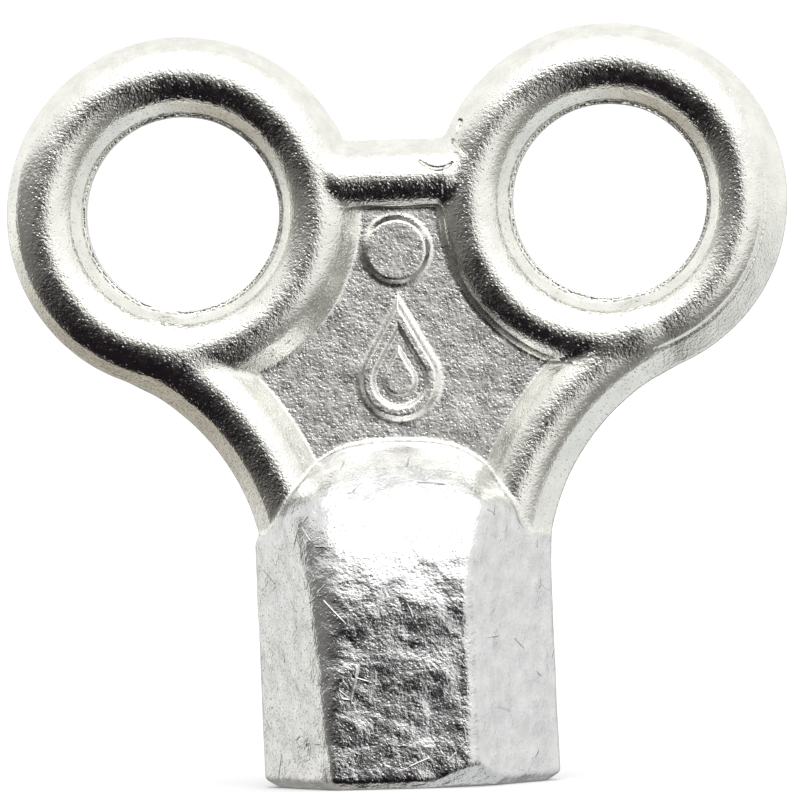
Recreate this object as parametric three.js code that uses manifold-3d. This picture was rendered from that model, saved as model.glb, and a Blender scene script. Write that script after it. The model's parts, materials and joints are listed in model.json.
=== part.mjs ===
// Radiator bleed key: a butterfly key cast in one piece in bright zinc alloy.
// Millimetres, +Z up. The key stands on the mouth of its hub, the web lies in the XZ plane and the marked
// side of the web faces -Y. The origin is at the middle of the mouth.

import * as THREE from 'three';
import { mergeVertices } from 'three/addons/utils/BufferGeometryUtils.js';
import Module from 'manifold-3d';

// Finger rings
const RING_X = 8.4;
const RING_Z = 22.58;
const HOLE_RADIUS = 3.8;
const RING_RADIUS = 6.95;
const RING_BEAD_INNER_RADIUS = 4.33;
const RING_BEAD_OUTER_RADIUS = 6.48;
const HOLE_LIP = 0.13;

// Side ribs, each on an arc that is tangent to the outside of its ring
const RIB_CENTRE_X = 14.65;
const RIB_CENTRE_Z = 7.79;
const RIB_INNER_RADIUS = 9.1;
const RIB_OUTER_RADIUS = 12.2;
const RIB_BEAD_INNER_RADIUS = 9.78;
const RIB_BEAD_OUTER_RADIUS = 11.8;
const RIB_BOTTOM_Z = 9.2;

// Crossbar between the rings
const BAR_BOTTOM_Z = 22.6;
const BAR_TOP_Z = 25.25;
const BAR_BEAD_BOTTOM_Z = 22.66;
const BAR_BEAD_TOP_Z = 24.65;
const BAR_HALF_LENGTH = 4;

// Half of each thickness, front to back
const BEAD_HALF = 1.55;
const WEB_HALF = 0.55;

// Every bead is a low arc that leaves its flanks at this angle. The flanks fall away by these amounts for
// each millimetre across: at a free edge, around a ring's hole, and next to the web.
const BEAD_EDGE_ANGLE = (50 * Math.PI) / 180;
const FREE_FLANK = 1.6;
const HOLE_FLANK = 2;
const WEB_FLANK = 1;

// Hub: a hexagon in plan, an arch from the front, and a rolled-over crown from the side
const HUB_FLATS = 10.2;
const HUB_EDGE_RADIUS = 0.45;
const ARCH_RADIUS = 5.4;
const ARCH_CENTRE_Z = 8.22;
const SHOULDER_Z = 9.9;
const CROWN_RADIUS = 6;
const CROWN_SLOPE = 0.38;
const CROWN_FLAT_HALF = 0.9;
const MOUTH_CHAMFER_HEIGHT = 0.3;
const MOUTH_CHAMFER_DEPTH = 0.42;

// Blind square socket
const SOCKET_SIDE = 5;
const SOCKET_DEPTH = 9;
const SOCKET_LEAD_IN = 0.4;

// Reliefs on the front of the web
const DROP_Z = 15.8;
const DROP_RADIUS = 1.4;
const DROP_TIP_HEIGHT = 2.85;
const DROP_RIM = 0.3;
const DROP_CORE_RADIUS = 0.55;
const DROP_FLOOR_HEIGHT = 0.08;
const PAD_Z = 20.9;
const PAD_RADIUS = 1.15;
const RELIEF_HEIGHT = 0.22;

// Hairline between neighbouring features of the casting
const SEAM = 0.25;

const RING_SEGMENTS = 72;
const RIB_SEGMENTS = 108;
const CREST_STEPS = 10;
const ROLL_STEPS = 10;
const ARCH_STEPS = 32;
const BEYOND = 40;

const wasm = await Module();
wasm.setup();

// Solids

function toSolid(geometry) {
  const bare = geometry.clone();
  bare.deleteAttribute('normal');
  bare.deleteAttribute('uv');
  const merged = mergeVertices(bare, 1e-5);
  return new wasm.Manifold(new wasm.Mesh({
    numProp: 3,
    vertProperties: new Float32Array(merged.attributes.position.array),
    triVerts: new Uint32Array(merged.index.array),
  }));
}

function toGeometry(solid) {
  const mesh = solid.getMesh();
  const indexed = new THREE.BufferGeometry();
  indexed.setAttribute('position', new THREE.BufferAttribute(new Float32Array(mesh.vertProperties), 3));
  indexed.setIndex(new THREE.BufferAttribute(new Uint32Array(mesh.triVerts), 1));
  const faceted = indexed.toNonIndexed();
  faceted.computeVertexNormals();
  return faceted;
}

function arcPoints(centre, radius, from, to, steps) {
  const points = [];
  for (let i = 0; i <= steps; i += 1) {
    const angle = from + ((to - from) * i) / steps;
    const along = new THREE.Vector2(Math.cos(angle), Math.sin(angle));
    points.push(along.multiplyScalar(radius).add(centre));
  }
  return points;
}

function extrude(points, depth) {
  return new THREE.ExtrudeGeometry(new THREE.Shape(points), { depth, bevelEnabled: false });
}

// A front view, (X, Z), given its depth about Y = 0.
function frontPrism(points, depth) {
  const geometry = extrude(points, depth);
  geometry.translate(0, 0, -depth / 2);
  geometry.rotateX(Math.PI / 2);
  return toSolid(geometry);
}

// A side view, (Y, Z), given its width about X = 0.
function sidePrism(points, width) {
  const geometry = extrude(points, width);
  geometry.translate(0, 0, -width / 2);
  geometry.rotateX(Math.PI / 2);
  geometry.rotateZ(Math.PI / 2);
  return toSolid(geometry);
}

// A round post through the whole part, front to back.
function postThrough(x, z, radius, segments) {
  const geometry = new THREE.CylinderGeometry(radius, radius, BEYOND, segments);
  geometry.translate(x, 0, z);
  return toSolid(geometry);
}

// The front of a beaded band, from rim to rim: (distance across, half thickness).
function beadedFront(rims, feet, flanks) {
  const [innerFoot, outerFoot] = feet;
  const radius = (outerFoot - innerFoot) / 2 / Math.sin(BEAD_EDGE_ANGLE);
  const centre = new THREE.Vector2((innerFoot + outerFoot) / 2, BEAD_HALF - radius);
  const start = Math.PI / 2 + BEAD_EDGE_ANGLE;
  const crest = arcPoints(centre, radius, start, Math.PI - start, CREST_STEPS);
  const footHalf = crest[0].y;
  return [
    new THREE.Vector2(rims[0], footHalf - flanks[0] * (innerFoot - rims[0])),
    ...crest,
    new THREE.Vector2(rims[1], footHalf - flanks[1] * (rims[1] - outerFoot)),
  ];
}

// A beaded band, the same at the front and the back, turned about a Y axis at (x, z).
function turnedBand(x, z, front, segments) {
  const back = front.map((point) => new THREE.Vector2(point.x, -point.y));
  const section = [...back, ...[...front].reverse(), back[0].clone()];
  const geometry = new THREE.LatheGeometry(section, segments);
  geometry.translate(x, 0, z);
  return toSolid(geometry);
}

// Finger rings: side is -1 on the left and 1 on the right

function ringSolid(side) {
  const band = beadedFront(
    [HOLE_RADIUS + HOLE_LIP, RING_RADIUS],
    [RING_BEAD_INNER_RADIUS, RING_BEAD_OUTER_RADIUS],
    [HOLE_FLANK, FREE_FLANK],
  );
  const lip = new THREE.Vector2(HOLE_RADIUS, band[0].y);
  return turnedBand(side * RING_X, RING_Z, [lip, ...band], RING_SEGMENTS);
}

function ringPost(side) {
  return postThrough(side * RING_X, RING_Z, RING_RADIUS + SEAM, RING_SEGMENTS);
}

// Hub

// The hexagon in plan, with two of its corners on the X axis.
function hexagonPlan(acrossFlats, edgeRadius) {
  const cornerDistance = (acrossFlats / 2 - edgeRadius) / Math.cos(Math.PI / 6);
  const points = [];
  for (let corner = 0; corner < 6; corner += 1) {
    const angle = (corner * Math.PI) / 3;
    const centre = new THREE.Vector2(Math.cos(angle), Math.sin(angle)).multiplyScalar(cornerDistance);
    points.push(...arcPoints(centre, edgeRadius, angle - Math.PI / 6, angle + Math.PI / 6, 4));
  }
  return points;
}

// The side view: upright faces that roll over into a gently sloping crown.
function crownOutline(halfDepth, growth) {
  const topZ = ARCH_CENTRE_Z + ARCH_RADIUS + growth;
  const slopeAngle = Math.atan(CROWN_SLOPE);
  const edgeZ = topZ - CROWN_SLOPE * (halfDepth - CROWN_FLAT_HALF);
  const rollDrop = CROWN_RADIUS * Math.tan((Math.PI / 2 - slopeAngle) / 2);
  const rollCentre = new THREE.Vector2(halfDepth - CROWN_RADIUS, edgeZ - rollDrop);
  const roll = arcPoints(rollCentre, CROWN_RADIUS, 0, Math.PI / 2 - slopeAngle, ROLL_STEPS);
  const back = [new THREE.Vector2(halfDepth, -1), ...roll, new THREE.Vector2(CROWN_FLAT_HALF, topZ)];
  const front = back.map((point) => new THREE.Vector2(-point.x, point.y)).reverse();
  return [...back, ...front];
}

// The front view: straight sides up to the shoulder, then the arch.
function archOutline(growth) {
  const radius = ARCH_RADIUS + growth;
  const shoulderZ = SHOULDER_Z + growth;
  const startAngle = Math.asin((shoulderZ - ARCH_CENTRE_Z) / radius);
  const centre = new THREE.Vector2(0, ARCH_CENTRE_Z);
  return [
    new THREE.Vector2(-HUB_FLATS, -1),
    new THREE.Vector2(HUB_FLATS, -1),
    new THREE.Vector2(HUB_FLATS, shoulderZ),
    ...arcPoints(centre, radius, startAngle, Math.PI - startAngle, ARCH_STEPS),
    new THREE.Vector2(-HUB_FLATS, shoulderZ),
  ];
}

// The plan standing on Z = 0, with the mouth chamfer around its foot. The crown and arch cut its top away.
function chamferedPrism(plan, height) {
  const geometry = new THREE.ExtrudeGeometry(new THREE.Shape(plan), {
    depth: height,
    bevelThickness: MOUTH_CHAMFER_HEIGHT,
    bevelSize: MOUTH_CHAMFER_DEPTH,
    bevelOffset: -MOUTH_CHAMFER_DEPTH,
    bevelSegments: 1,
  });
  return geometry.translate(0, 0, MOUTH_CHAMFER_HEIGHT);
}

// The hub without its socket, grown evenly where a neighbour is cut to clear it.
function hubBlank(growth) {
  const plan = hexagonPlan(HUB_FLATS + 2 * growth, HUB_EDGE_RADIUS + growth);
  const prism = toSolid(chamferedPrism(plan, ARCH_CENTRE_Z + 2 * ARCH_RADIUS));
  const crown = sidePrism(crownOutline(HUB_FLATS / 2 + growth, growth), BEYOND);
  const arch = frontPrism(archOutline(growth), BEYOND);
  return prism.intersect(crown).intersect(arch);
}

function squareSocket() {
  const bore = new THREE.BoxGeometry(SOCKET_SIDE, SOCKET_SIDE, 2 * SOCKET_DEPTH);
  const boreCorner = SOCKET_SIDE / Math.SQRT2;
  const mouthCorner = boreCorner + 2 * SOCKET_LEAD_IN * Math.SQRT2;
  const leadIn = new THREE.CylinderGeometry(boreCorner, mouthCorner, 2 * SOCKET_LEAD_IN, 4);
  leadIn.rotateX(Math.PI / 2);
  leadIn.rotateZ(Math.PI / 4);
  return toSolid(bore).add(toSolid(leadIn));
}

function hubSolid() {
  return hubBlank(0).subtract(squareSocket());
}

// Ribs, crossbar and web, each cut back from its neighbours by the seam

function ribSolid(side) {
  const front = beadedFront(
    [RIB_INNER_RADIUS, RIB_OUTER_RADIUS],
    [RIB_BEAD_INNER_RADIUS, RIB_BEAD_OUTER_RADIUS],
    [FREE_FLANK, WEB_FLANK],
  );
  const band = turnedBand(side * RIB_CENTRE_X, RIB_CENTRE_Z, front, RIB_SEGMENTS);
  const span = frontPrism([
    new THREE.Vector2(0, RIB_BOTTOM_Z),
    new THREE.Vector2(side * RIB_CENTRE_X, RIB_BOTTOM_Z),
    new THREE.Vector2(side * RING_X, RING_Z),
    new THREE.Vector2(0, RING_Z),
  ], BEYOND);
  return band.intersect(span).subtract(ringPost(side)).subtract(hubBlank(SEAM));
}

function crossbarSolid() {
  const edge = beadedFront(
    [BAR_BOTTOM_Z, BAR_TOP_Z],
    [BAR_BEAD_BOTTOM_Z, BAR_BEAD_TOP_Z],
    [FREE_FLANK, FREE_FLANK],
  );
  const front = edge.map((point) => new THREE.Vector2(-point.y, point.x));
  const back = edge.map((point) => new THREE.Vector2(point.y, point.x)).reverse();
  const bar = sidePrism([...front, ...back], 2 * BAR_HALF_LENGTH);
  return bar.subtract(ringPost(-1)).subtract(ringPost(1));
}

function webSolid() {
  const sheet = frontPrism([
    new THREE.Vector2(-RING_X, SHOULDER_Z),
    new THREE.Vector2(RING_X, SHOULDER_Z),
    new THREE.Vector2(RING_X, BAR_BOTTOM_Z - SEAM),
    new THREE.Vector2(-RING_X, BAR_BOTTOM_Z - SEAM),
  ], 2 * WEB_HALF);
  const ribPostRadius = RIB_OUTER_RADIUS + SEAM;
  const cutters = [
    ringPost(-1),
    ringPost(1),
    postThrough(-RIB_CENTRE_X, RIB_CENTRE_Z, ribPostRadius, RIB_SEGMENTS),
    postThrough(RIB_CENTRE_X, RIB_CENTRE_Z, ribPostRadius, RIB_SEGMENTS),
    hubBlank(SEAM),
  ];
  return cutters.reduce((solid, cutter) => solid.subtract(cutter), sheet);
}

// Reliefs, modelled about Y = 0 and placed on the front of the web

// A water drop in the front view: a round belly and two straight flanks that meet at the tip.
function dropOutline(radius) {
  const tangentAngle = Math.acos(DROP_RADIUS / DROP_TIP_HEIGHT);
  const centre = new THREE.Vector2(0, DROP_Z);
  const start = Math.PI / 2 + tangentAngle;
  const end = Math.PI / 2 - tangentAngle + 2 * Math.PI;
  const belly = arcPoints(centre, radius, start, end, 32);
  const tip = new THREE.Vector2(0, DROP_Z + radius / Math.cos(tangentAngle));
  return [tip, ...belly];
}

// A raised rim around a low floor, with a smaller drop standing in the middle.
function dropSolid() {
  const block = frontPrism(dropOutline(DROP_RADIUS), RELIEF_HEIGHT);
  const inside = frontPrism(dropOutline(DROP_RADIUS - DROP_RIM), RELIEF_HEIGHT);
  const core = frontPrism(dropOutline(DROP_CORE_RADIUS), RELIEF_HEIGHT);
  const hollow = inside.translate([0, -DROP_FLOOR_HEIGHT, 0]);
  return block.subtract(hollow).add(core);
}

function padSolid() {
  const geometry = new THREE.CylinderGeometry(PAD_RADIUS, PAD_RADIUS, RELIEF_HEIGHT, 32);
  geometry.translate(0, 0, PAD_Z);
  return toSolid(geometry);
}

// Materials

function castZinc(colour, roughness) {
  return new THREE.MeshStandardMaterial({ color: colour, roughness, metalness: 1 });
}

// Scene graph

function addFeature(group, name, solid, material) {
  const mesh = new THREE.Mesh(toGeometry(solid), material);
  mesh.name = name;
  group.add(mesh);
  return mesh;
}

const key = new THREE.Group();
key.name = 'radiator_bleed_key';

addFeature(key, 'socket_hub', hubSolid(), castZinc(0xc4c6c9, 0.42));
addFeature(key, 'web_panel', webSolid(), castZinc(0xb9b9bb, 0.5));
addFeature(key, 'ring_left', ringSolid(-1), castZinc(0xd2d2d4, 0.25));
addFeature(key, 'ring_right', ringSolid(1), castZinc(0xd2d2d4, 0.25));
addFeature(key, 'rib_left', ribSolid(-1), castZinc(0xcfcfd1, 0.28));
addFeature(key, 'rib_right', ribSolid(1), castZinc(0xcfcfd1, 0.28));
addFeature(key, 'crossbar', crossbarSolid(), castZinc(0xd2d2d4, 0.25));

const reliefs = new THREE.Group();
reliefs.name = 'front_reliefs';
reliefs.position.y = -(WEB_HALF + RELIEF_HEIGHT / 2);
key.add(reliefs);

addFeature(reliefs, 'drop_relief', dropSolid(), castZinc(0xc6c6c8, 0.38));
addFeature(reliefs, 'ejector_pad', padSolid(), castZinc(0xbebec0, 0.42));

export default key;
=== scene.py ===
"""Radiator bleed key: the visual model of a small butterfly key, cast in one piece in bright zinc alloy.

The casting is described as a distance field in millimetres and meshed once, so that its fillets run on
from feature to feature. The mesh is then divided into one closed piece for each CAD node.
"""

import json
import math

import bpy
import numpy as np
from mathutils import Matrix, Vector


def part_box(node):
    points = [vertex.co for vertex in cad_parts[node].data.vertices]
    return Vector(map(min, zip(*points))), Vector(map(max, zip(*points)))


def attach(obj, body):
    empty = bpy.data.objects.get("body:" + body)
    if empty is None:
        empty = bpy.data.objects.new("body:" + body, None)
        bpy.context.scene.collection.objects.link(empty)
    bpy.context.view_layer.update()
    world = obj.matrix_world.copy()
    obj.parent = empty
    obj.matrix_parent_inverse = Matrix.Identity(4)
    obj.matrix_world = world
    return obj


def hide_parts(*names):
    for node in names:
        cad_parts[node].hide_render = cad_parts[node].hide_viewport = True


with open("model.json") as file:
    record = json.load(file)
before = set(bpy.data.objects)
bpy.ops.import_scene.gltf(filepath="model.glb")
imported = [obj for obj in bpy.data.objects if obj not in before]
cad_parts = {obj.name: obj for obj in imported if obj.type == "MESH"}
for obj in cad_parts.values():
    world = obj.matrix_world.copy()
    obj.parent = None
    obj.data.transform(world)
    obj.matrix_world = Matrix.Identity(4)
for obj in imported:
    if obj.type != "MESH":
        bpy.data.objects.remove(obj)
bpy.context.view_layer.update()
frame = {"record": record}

MM = 0.001


def centre_mm(node):
    low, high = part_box(node)
    return [(a + b) / 2 / MM for a, b in zip(low, high)]


def size_mm(node):
    low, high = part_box(node)
    return [(b - a) / MM for a, b in zip(low, high)]


# Dimensions in millimetres, taken from the CAD boxes where a box gives them. A pair is an inner and an outer
# limit, or a bottom and a top one. A slope is the fall of a face for each millimetre across.
LEFT, RIGHT = -1, 1
BEAD_HALF = size_mm("ring_right")[1] / 2
BEAD_EDGE_ANGLE = math.radians(50)
RIM_ROUNDING = 0.08
FREE_SLOPE = 1.6

RING_X, RING_Z = centre_mm("ring_right")[0], centre_mm("ring_right")[2]
RING_RADIUS = size_mm("ring_right")[0] / 2
RING_BEAD = (4.33, 6.48)
HOLE_RADIUS = 3.8
HOLE_SLOPE = 2.0
LIP_WIDTH, LIP_HALF = 0.13, 0.25
# Directions from a ring's centre: away from the middle of the key, then up.
TOWARDS_WEB = (-0.85, -0.53)
TOWARDS_OUTSIDE = (0.8, -0.6)
WEB_SIDE_SLOPE = {LEFT: 1.0, RIGHT: 2.4}
OUTSIDE_SLOPE = 1.2
OUTSIDE_NARROWING = 0.38
EDGE_LINE_DEPTH, EDGE_LINE_WIDTH = 0.05, 0.06
FOLD_LINES = (((-5.7, 3.28), (-5.79, 2.85)), ((-6.0, 2.5), (-5.51, 1.98)))
FOLD_DEPTH = 0.1

RIB_X, RIB_Z = 14.65, 7.79
RIB_RIMS = (9.1, 12.2)
RIB_BEAD = (9.78, 11.8)
RIB_WEB_SLOPE = 1.0
RIB_BELOW_SHOULDER = 1.2
RIB_END_ROUNDING = 1.2

BAR_RIMS = (22.6, 25.25)
BAR_BEAD = (22.66, 24.65)
BAR_END_RADIUS = 5.95
BAR_END_ROUNDING = 0.5
NICK_X, NICK_Z, NICK_RADIUS = 1.8, 24.95, 0.92
NICK_TOP, NICK_DEPTH = 24.3, 0.08

WEB_HALF = size_mm("web_panel")[1] / 2
WEB_UNDER_NEIGHBOURS = 0.5
WEB_HALF_LENGTH = RING_X + 2.1

HUB_HALF_FLATS = size_mm("socket_hub")[1] / 2
HUB_TOP = size_mm("socket_hub")[2]
HUB_LEAN = 0.015
HUB_EDGE, SOFT_EDGE_GROWTH = 0.3, 0.1
ARCH_RADIUS = 5.4
SHOULDER_Z = 9.9
CROWN_SLOPE = 0.38
CROWN_FLAT = 0.9
CROWN_ROUNDING = 5.0
# Planes that cut the hub: the three parts of the normal, then the distance from the origin.
WORN_EDGE_PLANE = (-0.83, -0.558, -0.033, 5.067)
FOOT_CHIP_PLANE = (0.3, -0.52, -0.8, 2.79)
MOUTH_CHAMFER_HEIGHT, MOUTH_CHAMFER_DEPTH = 0.3, 0.42
MOUTH_ROUNDING = 0.12
SOCKET_HALF, SOCKET_DEPTH, SOCKET_LEAD_IN = 2.5, 9.0, 0.4

DROP_Z, DROP_RADIUS, DROP_TIP = 15.8, 1.4, 2.85
DROP_RIM, DROP_CORE = 0.3, 0.85
DROP_FLOOR_HEIGHT = 0.08
PAD_Z, PAD_RADIUS = centre_mm("ejector_pad")[2], size_mm("ejector_pad")[0] / 2
RELIEF_HEIGHT = size_mm("ejector_pad")[1]
RELIEF_ROOT = 0.15

# Widths over which neighbouring features blend into each other.
RIB_FILLET, BAR_FILLET, WEB_FILLET, RELIEF_FILLET, HUB_FILLET = 0.3, 0.3, 0.16, 0.1, 0.18


# Distance fields. Each takes arrays of points in millimetres and is negative inside.


def smooth_union(a, b, k):
    h = np.maximum(k - np.abs(a - b), 0) / k
    return np.minimum(a, b) - h * h * (k / 4)


def smooth_overlap(a, b, k):
    h = np.maximum(k - np.abs(a - b), 0) / k
    return np.maximum(a, b) + h * h * (k / 4)


def to_segment(u, v, start, end):
    """Distance in a plane from the points (u, v) to a straight line between two ends."""
    du, dv = end[0] - start[0], end[1] - start[1]
    along = np.clip(((u - start[0]) * du + (v - start[1]) * dv) / (du * du + dv * dv), 0, 1)
    return np.hypot(u - start[0] - along * du, v - start[1] - along * dv)


def past_plane(x, y, z, plane):
    return plane[0] * x + plane[1] * y + plane[2] * z - plane[3]


def engraved(field, distance, y, depth):
    """Cut a round-bottomed groove into the front of a field, along the line the distance is measured from."""
    groove = depth - np.hypot(distance, field)
    return smooth_overlap(field, np.where(y < 0, groove, -1), 0.03)


def beaded_band(r, y, rims, bead, flank_slopes):
    """A section across r: a low rounded bead between two steep flanks, alike at the front and back."""
    middle, half_width = sum(bead) / 2, (bead[1] - bead[0]) / 2
    radius = half_width / math.sin(BEAD_EDGE_ANGLE)
    across = np.clip(r - middle, -half_width, half_width)
    beyond = np.abs(r - middle) - np.abs(across)
    rise = np.sqrt(radius * radius - across * across)
    flank = np.where(r < middle, flank_slopes[0], flank_slopes[1])
    height = BEAD_HALF - radius + rise - flank * beyond
    slope = np.where(beyond > 0, flank, np.abs(across) / rise)
    face = (np.abs(y) - height) / np.hypot(1, slope)
    return smooth_overlap(face, np.maximum(rims[0] - r, r - rims[1]), RIM_ROUNDING)


def turned_towards(across, up, direction, sharpness, start):
    """0 to 1 as a point round a ring's centre turns towards a direction."""
    r = np.hypot(across, up)
    return np.clip((direction[0] * across + direction[1] * up) / (r + 0.01) * sharpness - start, 0, 1)


def ring_field(x, y, z, side):
    across, up = side * x - RING_X, z - RING_Z
    r = np.hypot(across, up)
    # The outer flank's slope changes next to the web: gentler on the left ring, steeper on the right.
    web_side = turned_towards(across, up, TOWARDS_WEB, 5, 2.5)
    outer_slope = FREE_SLOPE + (WEB_SIDE_SLOPE[side] - FREE_SLOPE) * web_side
    # On its outside and below, the right ring has a narrower bead, a wider flank and a fine line between.
    outside = turned_towards(across, up, TOWARDS_OUTSIDE, 3, 1.2) * (side == RIGHT)
    outer_slope = outer_slope + (OUTSIDE_SLOPE - FREE_SLOPE) * outside
    bead = (RING_BEAD[0], RING_BEAD[1] - OUTSIDE_NARROWING * outside)
    band = beaded_band(r, y, (HOLE_RADIUS + LIP_WIDTH, RING_RADIUS), bead, (HOLE_SLOPE, outer_slope))
    band = band + EDGE_LINE_DEPTH * outside * np.exp(-(((r - bead[1]) / EDGE_LINE_WIDTH) ** 2))
    lip = np.maximum(np.abs(y) - LIP_HALF, np.maximum(HOLE_RADIUS - r, r - RING_BEAD[0]))
    ring = np.minimum(band, lip)
    if side == LEFT:
        return ring
    # A short, shallow fold in two strokes on the front of the right ring, where the crossbar meets it.
    strokes = [to_segment(across, up, start, end) for start, end in FOLD_LINES]
    return engraved(ring, np.minimum(*strokes), y, FOLD_DEPTH)


def rib_field(x, y, z, side):
    r = np.hypot(x - side * RIB_X, z - RIB_Z)
    band = beaded_band(r, y, RIB_RIMS, RIB_BEAD, (FREE_SLOPE, RIB_WEB_SLOPE))
    to_ring = Vector((side * (RING_X - RIB_X), RING_Z - RIB_Z)).normalized()
    past_ring_line = side * (to_ring.y * (x - side * RIB_X) - to_ring.x * (z - RIB_Z))
    below_hub_shoulder = SHOULDER_Z - RIB_BELOW_SHOULDER - z
    return smooth_overlap(smooth_overlap(band, past_ring_line, RIB_END_ROUNDING), below_hub_shoulder, 0.2)


def crossbar_field(x, y, z):
    bar = beaded_band(z, y, BAR_RIMS, BAR_BEAD, (FREE_SLOPE, FREE_SLOPE))
    bar = np.maximum(bar, np.abs(x) - (RING_X - HOLE_RADIUS))
    for side in (LEFT, RIGHT):
        inside_ring = BAR_END_RADIUS - np.hypot(x - side * RING_X, z - RING_Z)
        bar = smooth_overlap(bar, inside_ring, BAR_END_ROUNDING)
    # A small arc-shaped nick on the front of the bar, right of the middle.
    arc = np.hypot(x - NICK_X, z - NICK_Z) - NICK_RADIUS
    nick = np.hypot(arc, np.maximum(z - NICK_TOP, 0))
    return engraved(bar, nick, y, NICK_DEPTH)


def web_field(x, y, z):
    sheet = np.maximum(np.abs(y) - WEB_HALF, np.abs(x) - WEB_HALF_LENGTH)
    bottom = SHOULDER_Z - WEB_UNDER_NEIGHBOURS
    top = BAR_RIMS[0] + 2 * WEB_UNDER_NEIGHBOURS
    sheet = np.maximum(sheet, np.maximum(z - top, bottom - z))
    ring_limit = RING_BEAD[1] - WEB_UNDER_NEIGHBOURS
    rib_limit = RIB_BEAD[1] - WEB_UNDER_NEIGHBOURS
    for side in (LEFT, RIGHT):
        sheet = np.maximum(sheet, ring_limit - np.hypot(x - side * RING_X, z - RING_Z))
        sheet = np.maximum(sheet, rib_limit - np.hypot(x - side * RIB_X, z - RIB_Z))
    return sheet


def hexagon_field(x, y, z):
    """The hub's six upright faces, with the two at the front and back rolling over into a sloping crown."""
    slope_angle = math.atan(CROWN_SLOPE)
    crown = (z - HUB_TOP + CROWN_SLOPE * (np.abs(y) - CROWN_FLAT)) * math.cos(slope_angle)
    body = smooth_overlap(np.abs(y) - HUB_HALF_FLATS, crown, CROWN_ROUNDING)
    body = smooth_overlap(body, z - HUB_TOP, 0.6)
    # The left front edge is softer than the others, most of all towards the top.
    face_x, face_y = math.cos(math.pi / 6), math.sin(math.pi / 6)
    for side in (LEFT, RIGHT):
        for depth in (-1, 1):
            face = side * face_x * x + depth * face_y * y - HUB_HALF_FLATS
            soft = (side, depth) == (LEFT, -1)
            body = smooth_overlap(body, face, HUB_EDGE + SOFT_EDGE_GROWTH * z if soft else HUB_EDGE)
    # That edge is also broken by a narrow flat that widens downwards.
    return smooth_overlap(body, past_plane(x, y, z, WORN_EDGE_PLANE), 0.1)


def hub_field(x, y, z):
    x = x + HUB_LEAN * z
    hexagon = hexagon_field(x, y, z)
    body = smooth_overlap(hexagon, past_plane(x, y, z, FOOT_CHIP_PLANE), 0.1)
    # From the front the hub is an arch above its shoulder. The arch sinks towards the front and back.
    sunk = CROWN_SLOPE * np.maximum(np.abs(y) - CROWN_FLAT, 0)
    arch = np.hypot(x, np.maximum(z + sunk - (HUB_TOP - ARCH_RADIUS), 0)) - ARCH_RADIUS
    top = smooth_union(arch, z - SHOULDER_Z, 0.4)
    body = smooth_overlap(body, top, 0.5)
    # The mouth has a chamfer outside, and a square socket with a lead-in.
    steepness = MOUTH_CHAMFER_HEIGHT / MOUTH_CHAMFER_DEPTH
    chamfer = (steepness * hexagon + MOUTH_CHAMFER_HEIGHT - z) / math.hypot(1, steepness)
    body = smooth_overlap(body, np.maximum(chamfer, -z), MOUTH_ROUNDING)
    flats = np.maximum(np.abs(x), np.abs(y)) - SOCKET_HALF
    flared = flats - np.maximum(SOCKET_LEAD_IN - z, 0)
    socket = np.maximum(flared, z - SOCKET_DEPTH)
    return smooth_overlap(body, -socket, MOUTH_ROUNDING)


def drop_outline(x, z, radius):
    """Distance to a water drop in the plane of the web."""
    u, v = np.abs(x), z - DROP_Z
    tangent = math.acos(DROP_RADIUS / DROP_TIP)
    flank = u * math.sin(tangent) + v * math.cos(tangent) - radius
    above = v * math.sin(tangent) - u * math.cos(tangent) > 0
    return np.where(above, flank, np.hypot(u, v) - radius)


def relief_field(outline, y, height):
    """A raised area with sloping sides, standing on the front of the web."""
    top = -(WEB_HALF + height) - y
    sides = (outline + top) * math.sqrt(0.5)
    return smooth_overlap(sides, np.maximum(top, y + WEB_HALF - RELIEF_ROOT), 0.05)


def drop_field(x, y, z):
    outer = drop_outline(x, z, DROP_RADIUS)
    plate = relief_field(outer, y, DROP_FLOOR_HEIGHT)
    rim = relief_field(np.maximum(outer, -DROP_RIM - outer), y, RELIEF_HEIGHT)
    core = relief_field(drop_outline(x, z, DROP_RADIUS - DROP_CORE), y, RELIEF_HEIGHT)
    return np.minimum(plate, np.minimum(rim, core))


def pad_field(x, y, z):
    return relief_field(np.hypot(x, z - PAD_Z) - PAD_RADIUS, y, RELIEF_HEIGHT)


def waviness(x, y, z):
    """The slow unevenness of a cast skin: a sum of faint waves in all directions."""
    wave_count, wave_height = 24, 0.0016
    shortest, longest = 1.2, 5.0
    rng = np.random.default_rng(7)
    total = 0
    for _ in range(wave_count):
        direction = rng.normal(size=3)
        direction *= 2 * math.pi / rng.uniform(shortest, longest) / np.linalg.norm(direction)
        phase = rng.uniform(0, 2 * math.pi)
        total = total + np.sin(direction[0] * x + direction[1] * y + direction[2] * z + phase)
    return total * wave_height


FEATURES = {
    "socket_hub": hub_field,
    "web_panel": web_field,
    "ring_left": lambda x, y, z: ring_field(x, y, z, LEFT),
    "ring_right": lambda x, y, z: ring_field(x, y, z, RIGHT),
    "rib_left": lambda x, y, z: rib_field(x, y, z, LEFT),
    "rib_right": lambda x, y, z: rib_field(x, y, z, RIGHT),
    "crossbar": crossbar_field,
    "drop_relief": drop_field,
    "ejector_pad": pad_field,
}


def casting_fields(x, y, z):
    """Every feature's own distance, and the distance to the casting with its fillets."""
    own = {name: field(x, y, z) for name, field in FEATURES.items()}
    rings = np.minimum(own["ring_left"], own["ring_right"])
    ribs = np.minimum(own["rib_left"], own["rib_right"])
    reliefs = np.minimum(own["drop_relief"], own["ejector_pad"])
    whole = smooth_union(rings, ribs, RIB_FILLET)
    whole = smooth_union(whole, own["crossbar"], BAR_FILLET)
    whole = smooth_union(whole, own["web_panel"], WEB_FILLET)
    whole = smooth_union(whole, reliefs, RELIEF_FILLET)
    whole = smooth_union(whole, own["socket_hub"], HUB_FILLET)
    return own, whole + waviness(x, y, z)


# Meshing


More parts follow.
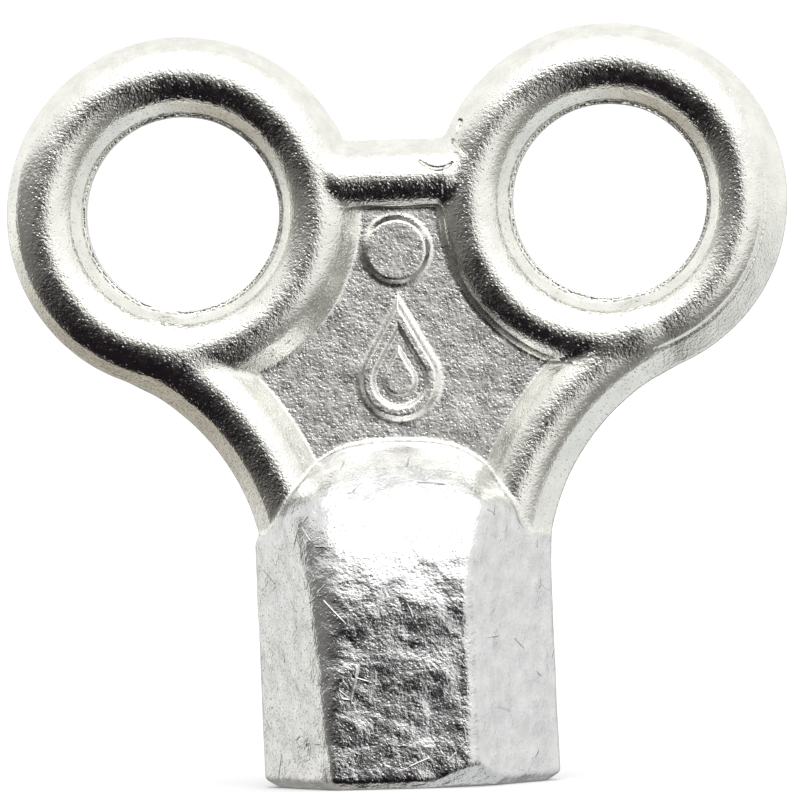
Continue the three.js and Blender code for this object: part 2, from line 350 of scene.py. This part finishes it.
def stepped(low, high, *fine, step=0.1):
    """Grid lines from low to high, with finer spacing inside each (from, to, step) stretch."""
    lines, at = [], low
    while at < high:
        lines.append(at)
        at += next((s for a, b, s in fine if a <= at < b), step)
    return np.array(lines + [at], dtype=np.float32)


def sample_casting(xs, ys, zs):
    """The field and the nearest feature's number, 1 and up inside and 0 outside, at every grid point."""
    shape = (len(xs), len(ys), len(zs))
    field = np.empty(shape, np.float32)
    label = np.zeros(shape, np.uint8)
    block = 12
    for start in range(0, len(xs), block):
        x = xs[start:start + block, None, None]
        own, whole = casting_fields(x, ys[None, :, None], zs[None, None, :])
        stack = np.stack([np.broadcast_to(own[name], whole.shape) for name in FEATURES])
        field[start:start + block] = whole
        label[start:start + block] = np.where(whole < 0, stack.argmin(axis=0) + 1, 0)
    return field, label


def gradient_at(points, reach=0.015):
    columns = []
    for axis in range(3):
        offset = np.zeros(3)
        offset[axis] = reach
        ahead = casting_fields(*(points + offset).T)[1]
        behind = casting_fields(*(points - offset).T)[1]
        columns.append((ahead - behind) / (2 * reach))
    return np.stack(columns, axis=1)


def border_crossings(field, label, lines, axis):
    """Grid edges along an axis whose ends have different labels.

    Gives the four cells round each edge, the labels at its ends, the point where the border crosses it, and
    whether that border is on the casting's skin.
    """
    first, second = [slice(None)] * 3, [slice(None)] * 3
    first[axis], second[axis] = slice(0, -1), slice(1, None)
    crossing = np.argwhere(label[tuple(first)] != label[tuple(second)])
    ahead = crossing.copy()
    ahead[:, axis] += 1
    here, there = tuple(crossing.T), tuple(ahead.T)
    f0, f1 = field[here], field[there]
    l0, l1 = label[here], label[there]
    on_skin = (l0 == 0) | (l1 == 0)
    share = np.where(on_skin, f0 / np.where(f0 == f1, 1, f0 - f1), 0.5)
    point = np.stack([lines[k][crossing[:, k]] for k in range(3)])
    point[axis] += share * (lines[axis][ahead[:, axis]] - lines[axis][crossing[:, axis]])
    cells = tuple(n - 1 for n in label.shape)
    u, v = (axis + 1) % 3, (axis + 2) % 3
    corners = []
    for du, dv in ((-1, -1), (0, -1), (0, 0), (-1, 0)):
        cell = crossing.copy()
        cell[:, u] += du
        cell[:, v] += dv
        corners.append(np.ravel_multi_index(tuple(cell.T), cells))
    return np.stack(corners, axis=1), l0, l1, point, on_skin


def settle_on_skin(points):
    """Move points on to the casting's skin, a short step at a time."""
    furthest_step = 0.06
    for _ in range(3):
        slope = gradient_at(points)
        distance = casting_fields(*points.T)[1]
        step = distance[:, None] * slope / np.maximum((slope * slope).sum(axis=1), 0.2)[:, None]
        points = points - np.clip(step, -furthest_step, furthest_step)
    return points


def mesh_casting(xs, ys, zs):
    """Dual mesh of the labelled grid: points, normals, and each feature's own closed set of quads."""
    field, label = sample_casting(xs, ys, zs)
    cell_count = math.prod(n - 1 for n in label.shape)
    # Each cell's point is the mean of its border crossings, in which the skin counts far more than a seam.
    skin_weight, seam_weight = 1.0, 0.02
    weights = np.zeros(cell_count, np.float32)
    sums = np.zeros((3, cell_count), np.float32)
    quads = []
    for axis in range(3):
        corners, l0, l1, point, on_skin = border_crossings(field, label, (xs, ys, zs), axis)
        weight = np.where(on_skin, skin_weight, seam_weight).astype(np.float32)
        for column in corners.T:
            weights += np.bincount(column, weight, minlength=cell_count).astype(np.float32)
            for k in range(3):
                weighted = np.bincount(column, point[k] * weight, minlength=cell_count)
                sums[k] += weighted.astype(np.float32)
        quads.append((corners, l0, l1))
    used = np.flatnonzero(weights)
    number = np.full(cell_count, -1, np.int32)
    number[used] = np.arange(len(used))
    points = (sums[:, used] / weights[used]).T.astype(np.float64)

    on_skin = weights[used] >= skin_weight
    points[on_skin] = settle_on_skin(points[on_skin])
    normals = np.zeros_like(points)
    normals[:, 2] = 1
    slope = gradient_at(points[on_skin])
    normals[on_skin] = slope / np.maximum(np.linalg.norm(slope, axis=1), 1e-6)[:, None]

    faces = {}
    for value, name in enumerate(FEATURES, start=1):
        owned = []
        for corners, l0, l1 in quads:
            owned.append(corners[l0 == value])
            owned.append(corners[l1 == value][:, ::-1])
        faces[name] = number[np.concatenate(owned)]
    return points, normals, faces


def build_piece(name, points, normals, quads):
    used, local = np.unique(quads, return_inverse=True)
    local = local.reshape(quads.shape)
    mesh = bpy.data.meshes.new(name)
    mesh.vertices.add(len(used))
    mesh.vertices.foreach_set("co", (points[used] * MM).astype(np.float32).ravel())
    mesh.loops.add(local.size)
    mesh.loops.foreach_set("vertex_index", local.astype(np.int32).ravel())
    mesh.polygons.add(len(local))
    mesh.polygons.foreach_set("loop_start", np.arange(0, local.size, 4, dtype=np.int32))
    mesh.update(calc_edges=True)
    mesh.polygons.foreach_set("use_smooth", np.ones(len(local), bool))
    mesh.normals_split_custom_set_from_vertices(normals[used].tolist())
    mesh.validate()
    piece = bpy.data.objects.new(name, mesh)
    bpy.context.scene.collection.objects.link(piece)
    return piece


# The grid is finer at the reliefs on the web's front, and at the nick and the fold.
xs = stepped(-15.75, 15.75, (-1.7, 3.1, 0.055))
ys = stepped(-5.35, 5.35, (-0.88, -0.46, 0.045))
zs = stepped(-0.25, 29.85, (14.1, 19.0, 0.07), (19.6, 22.3, 0.07), (23.95, 26.0, 0.055))
points, normals, faces = mesh_casting(xs, ys, zs)


# Materials


def cast_zinc(name, colour, stained, roughness, grain, relief, scratch_depth):
    """Bright cast metal: fine grain, shallow pits and uneven roughness, all at real scale.

    Stains darken the colour down to the share in stained, roughness is a lowest and a highest value, and
    grain, relief and scratch_depth are heights in millimetres.
    """
    material = bpy.data.materials.new(name)
    material.use_nodes = True
    nodes, links = material.node_tree.nodes, material.node_tree.links
    shader = nodes["Principled BSDF"]
    shader.inputs["Metallic"].default_value = 1.0
    coords = nodes.new("ShaderNodeTexCoord")

    def remap(value, low, high, to_low, to_high):
        node = nodes.new("ShaderNodeMapRange")
        node.inputs["From Min"].default_value = low
        node.inputs["From Max"].default_value = high
        node.inputs["To Min"].default_value = to_low
        node.inputs["To Max"].default_value = to_high
        links.new(value, node.inputs["Value"])
        return node.outputs["Result"]

    def noise(patch_mm, detail, raggedness):
        texture = nodes.new("ShaderNodeTexNoise")
        texture.inputs["Scale"].default_value = 1 / (patch_mm * MM)
        texture.inputs["Detail"].default_value = detail
        texture.inputs["Roughness"].default_value = raggedness
        links.new(coords.outputs["Object"], texture.inputs["Vector"])
        return texture.outputs["Fac"]

    def pits(spacing_mm):
        """Small round pits, each about a third of the spacing wide."""
        texture = nodes.new("ShaderNodeTexVoronoi")
        texture.inputs["Scale"].default_value = 1 / (spacing_mm * MM)
        links.new(coords.outputs["Object"], texture.inputs["Vector"])
        return remap(texture.outputs["Distance"], 0.0, 0.3, 0, 1)

    def scratches(spacing_mm):
        """Fine lines along cell borders, kept only where a slow noise is high."""
        texture = nodes.new("ShaderNodeTexVoronoi")
        texture.feature = "DISTANCE_TO_EDGE"
        texture.inputs["Scale"].default_value = 1 / (spacing_mm * MM)
        links.new(coords.outputs["Object"], texture.inputs["Vector"])
        line = remap(texture.outputs["Distance"], 0.0, 0.02, 1, 0)
        kept = remap(noise(1.3, 1, 0.5), 0.6, 0.63, 0, 1)
        node = nodes.new("ShaderNodeMath")
        node.operation = "MULTIPLY"
        links.new(line, node.inputs[0])
        links.new(kept, node.inputs[1])
        return node.outputs["Value"]

    def bump(height, distance_mm, normal=None):
        node = nodes.new("ShaderNodeBump")
        node.inputs["Distance"].default_value = distance_mm * MM
        links.new(height, node.inputs["Height"])
        if normal is not None:
            links.new(normal, node.inputs["Normal"])
        return node.outputs["Normal"]

    stain = remap(noise(0.7, 4, 0.65), 0.35, 0.65, stained, 1.0)
    tint = nodes.new("ShaderNodeMix")
    tint.data_type = "RGBA"
    tint.blend_type = "MULTIPLY"
    tint.inputs["Factor"].default_value = 1.0
    tint.inputs["A"].default_value = (*colour, 1)
    links.new(stain, tint.inputs["B"])
    links.new(tint.outputs["Result"], shader.inputs["Base Color"])
    gloss = remap(noise(0.35, 4, 0.65), 0.35, 0.65, *roughness)
    links.new(gloss, shader.inputs["Roughness"])

    normal = bump(noise(1.4, 1, 0.5), relief * 3.2)
    normal = bump(noise(0.5, 2, 0.5), relief, normal)
    normal = bump(noise(0.12, 2, 0.6), grain, normal)
    normal = bump(pits(0.16), 0.012, normal)
    if scratch_depth > 0:
        normal = bump(scratches(1.9), scratch_depth, normal)
    links.new(normal, shader.inputs["Normal"])
    return material


def bead_zinc():
    """Warm and bright, worn smooth by fingers."""
    return cast_zinc("bead_zinc", (0.87, 0.865, 0.81), 0.85, (0.12, 0.26), 0.02, 0.008, 0)


def web_zinc():
    """Satin, the skin as it left the mould."""
    return cast_zinc("web_zinc", (0.92, 0.91, 0.87), 0.85, (0.22, 0.36), 0.02, 0.014, 0)


def hub_zinc():
    """Greyer and more uneven, with small scratches."""
    return cast_zinc("hub_zinc", (0.74, 0.742, 0.735), 0.82, (0.14, 0.26), 0.022, 0.055, 0.03)


SLOTS = {"bead_zinc": bead_zinc(), "web_zinc": web_zinc(), "hub_zinc": hub_zinc()}
slot_of = {row["node"]: row["material_slot"] for row in frame["record"]["subparts"]}

for name, quads in faces.items():
    piece = build_piece("cast_" + name, points, normals, quads)
    slot = slot_of[name]
    piece.data.materials.append(SLOTS[slot])
    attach(piece, "root")
    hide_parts(name)


# Stage: a pale floor, a soft white surround with darker parts low in front, and the camera


def build_floor():
    reach = 2.0
    corners = [(-reach, -reach, 0), (reach, -reach, 0), (reach, reach, 0), (-reach, reach, 0)]
    mesh = bpy.data.meshes.new("floor")
    mesh.from_pydata(corners, [], [(0, 1, 2, 3)])
    material = bpy.data.materials.new("floor_pale")
    material.use_nodes = True
    shader = material.node_tree.nodes["Principled BSDF"]
    shader.inputs["Base Color"].default_value = (0.9, 0.9, 0.9, 1)
    shader.inputs["Roughness"].default_value = 0.9
    mesh.materials.append(material)
    floor = bpy.data.objects.new("floor", mesh)
    # Just under the mouth, whose cast skin dips below zero by less than this.
    floor.location.z = -0.02 * MM
    floor.visible_glossy = False
    bpy.context.scene.collection.objects.link(floor)


def build_surround():
    """A studio whose light depends only on the direction in which a ray leaves the scene."""
    world = bpy.data.worlds.new("studio")
    bpy.context.scene.world = world
    world.use_nodes = True
    nodes, links = world.node_tree.nodes, world.node_tree.links
    background = nodes["Background"]
    coords = nodes.new("ShaderNodeTexCoord")

    def facing(direction, low, high):
        """0 to 1 as a ray turns towards a direction, between two cosines."""
        dot = nodes.new("ShaderNodeVectorMath")
        dot.operation = "DOT_PRODUCT"
        dot.inputs[1].default_value = Vector(direction).normalized()
        links.new(coords.outputs["Generated"], dot.inputs[0])
        ramp = nodes.new("ShaderNodeMapRange")
        ramp.interpolation_type = "SMOOTHSTEP"
        ramp.inputs["From Min"].default_value = low
        ramp.inputs["From Max"].default_value = high
        links.new(dot.outputs["Value"], ramp.inputs["Value"])
        return ramp.outputs["Result"]

    def mix(factor, a, b):
        node = nodes.new("ShaderNodeMix")
        node.data_type = "RGBA"
        links.new(factor, node.inputs["Factor"])
        for socket, value in (("A", a), ("B", b)):
            if isinstance(value, tuple):
                node.inputs[socket].default_value = (*value, 1)
            else:
                links.new(value, node.inputs[socket])
        return node.outputs["Result"]

    def both(a, b):
        node = nodes.new("ShaderNodeMath")
        node.operation = "MULTIPLY"
        links.new(a, node.inputs[0])
        links.new(b, node.inputs[1])
        return node.outputs["Value"]

    white = (1.12, 1.12, 1.12)
    bright = (2.4, 2.4, 2.4)
    grey = (0.29, 0.285, 0.27)
    shade = (0.24, 0.235, 0.225)
    dark = (0.012, 0.009, 0.012)
    pale = (1.1, 1.1, 1.09)
    pale_cool = (0.88, 0.9, 0.91)
    pale_warm = (0.6, 0.55, 0.47)
    far_grey = (0.3, 0.3, 0.29)
    side_light = (1.4, 1.38, 1.3)

    # In front: white, brightest above, grey below, and dark below on the left.
    above = facing((0.1, -0.7, 0.8), 0.76, 0.95)
    below = facing((0.3, 0.3, -0.9), 0.1, 0.7)
    below_and_left = both(
        facing((-0.34, -0.2, -0.92), -0.13, 0.22),
        facing((-0.82, -0.14, -0.56), -0.1, 0.3),
    )
    far_below_left = both(
        facing((0.3, -0.24, -0.92), -0.16, 0.36),
        facing((-0.95, -0.08, -0.3), -0.1, 0.18),
    )
    in_front = mix(above, white, bright)
    in_front = mix(below, in_front, grey)
    in_front = mix(below_and_left, in_front, shade)
    in_front = mix(far_below_left, in_front, dark)

    # Behind: pale all round, cooler below, warmer below on the left, and grey far behind and low.
    far_and_low = both(facing((0, 1, 0), 0.62, 0.75), facing((0, 0, -1), -0.4, 0.6))
    behind = mix(facing((0.2, 0.3, -0.9), 0.1, 0.8), pale, pale_cool)
    behind = mix(facing((-0.6, 0.3, -0.75), 0.7, 0.98), behind, pale_warm)
    behind = mix(far_and_low, behind, far_grey)

    # The two meet at an upright horizon a little behind the key. It comes forward on the right.
    front_of_horizon = both(facing((-0.1, -1, 0), -0.38, -0.22), facing((-0.5, -1, 0.2), -0.55, -0.35))
    colour = mix(front_of_horizon, behind, in_front)
    colour = mix(facing((-1, 0.4, 0), 0.985, 0.998), colour, side_light)
    # What the camera sees straight through is plain white.
    seen = nodes.new("ShaderNodeLightPath")
    colour = mix(seen.outputs["Is Camera Ray"], colour, white)
    links.new(colour, background.inputs["Color"])
    background.inputs["Strength"].default_value = 1.0


def build_camera():
    data = bpy.data.cameras.new("camera")
    camera = bpy.data.objects.new("camera", data)
    bpy.context.scene.collection.objects.link(camera)
    picture_height_px = 800
    pixels_per_mm = 25.5
    distance = 0.36
    azimuth = math.radians(4.7)
    roll = math.radians(-1.7)
    target = Vector((-0.166, 0, 15.03)) * MM
    # The sensor's width lies along the picture's longer side, which is its height.
    data.sensor_width = 36
    data.lens = data.sensor_width * distance / (picture_height_px / pixels_per_mm * MM)
    data.clip_start, data.clip_end = 0.01, 10
    back = Vector((math.sin(azimuth), -math.cos(azimuth), 0))
    look = (-back).to_track_quat("-Z", "Y").to_matrix()
    turn = look @ Matrix.Rotation(roll, 3, "Z")
    camera.matrix_world = Matrix.Translation(target + back * distance) @ turn.to_4x4()
    bpy.context.scene.camera = camera


build_floor()
build_surround()
build_camera()
bpy.context.scene.view_settings.view_transform = "Standard"
